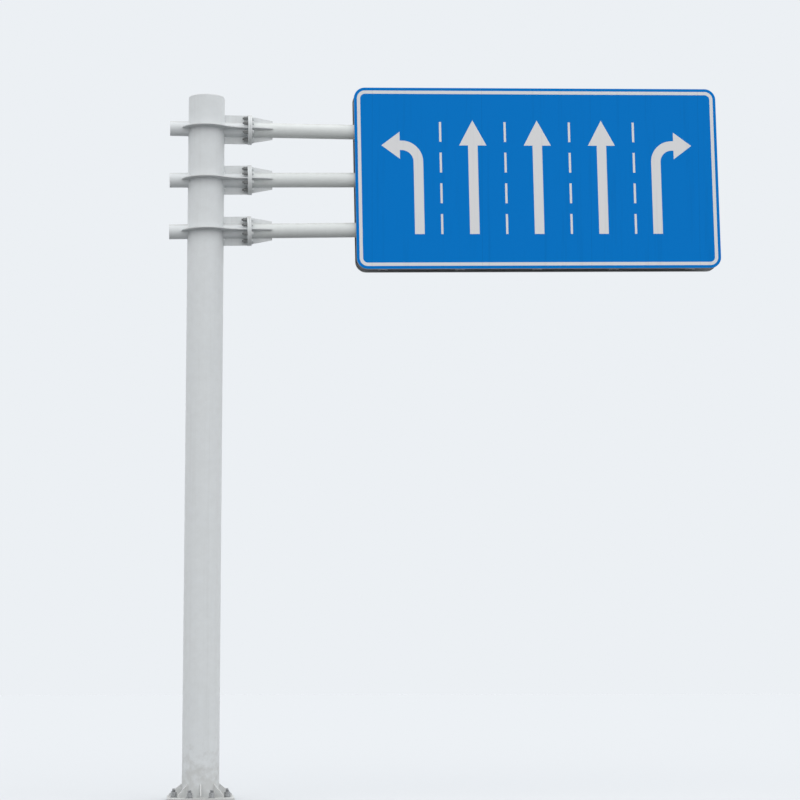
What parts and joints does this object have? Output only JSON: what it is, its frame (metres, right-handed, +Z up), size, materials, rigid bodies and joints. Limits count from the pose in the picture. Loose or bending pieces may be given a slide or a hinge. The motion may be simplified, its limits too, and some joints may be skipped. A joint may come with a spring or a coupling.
{
  "type": "cantilever sign gantry",
  "caption": "Round steel pole with three tube arms on bolted flange joints, which carry a large flat road sign panel on each side.",
  "frame": {"origin": "on the pole's axis, at the underside of its base plate, where it meets the ground", "axes": "+Z up along the pole, +X along the arms towards the sign, the sign faces -Y"},
  "size_m": [6.0176, 0.7, 7.7095],
  "materials": {
    "pole_paint": "light grey paint over galvanised steel, satin",
    "arm_paint": "light grey paint over galvanised steel, satin",
    "zinc": "zinc plated bolts and nuts, dull",
    "sign_sheet": "blue reflective sheeting on an aluminium sheet, bare metal behind",
    "channel_metal": "mill finish extrusion"
  },
  "bodies": {
    "root": {"base_flange": "pole_paint", "base_ribs": "pole_paint", "pole": "pole_paint", "pole_cap": "pole_paint", "upper_stub": "pole_paint", "upper_collar": "pole_paint", "upper_stub_gussets": "pole_paint", "upper_arm": "arm_paint", "upper_arm_gussets": "arm_paint", "middle_stub": "pole_paint", "middle_collar": "pole_paint", "middle_stub_gussets": "pole_paint", "middle_arm": "arm_paint", "middle_arm_gussets": "arm_paint", "lower_stub": "pole_paint", "lower_collar": "pole_paint", "lower_stub_gussets": "pole_paint", "lower_arm": "arm_paint", "lower_arm_gussets": "arm_paint", "stub_flanges": "pole_paint", "arm_flanges": "arm_paint", "front_panel": "sign_sheet", "front_channel_1": "channel_metal", "front_channel_2": "channel_metal", "front_channel_3": "channel_metal", "front_channel_4": "channel_metal", "front_channel_5": "channel_metal", "rear_panel": "sign_sheet", "rear_channel_1": "channel_metal", "rear_channel_2": "channel_metal", "rear_channel_3": "channel_metal", "rear_channel_4": "channel_metal", "rear_channel_5": "channel_metal"}
  },
  "joints": []
}
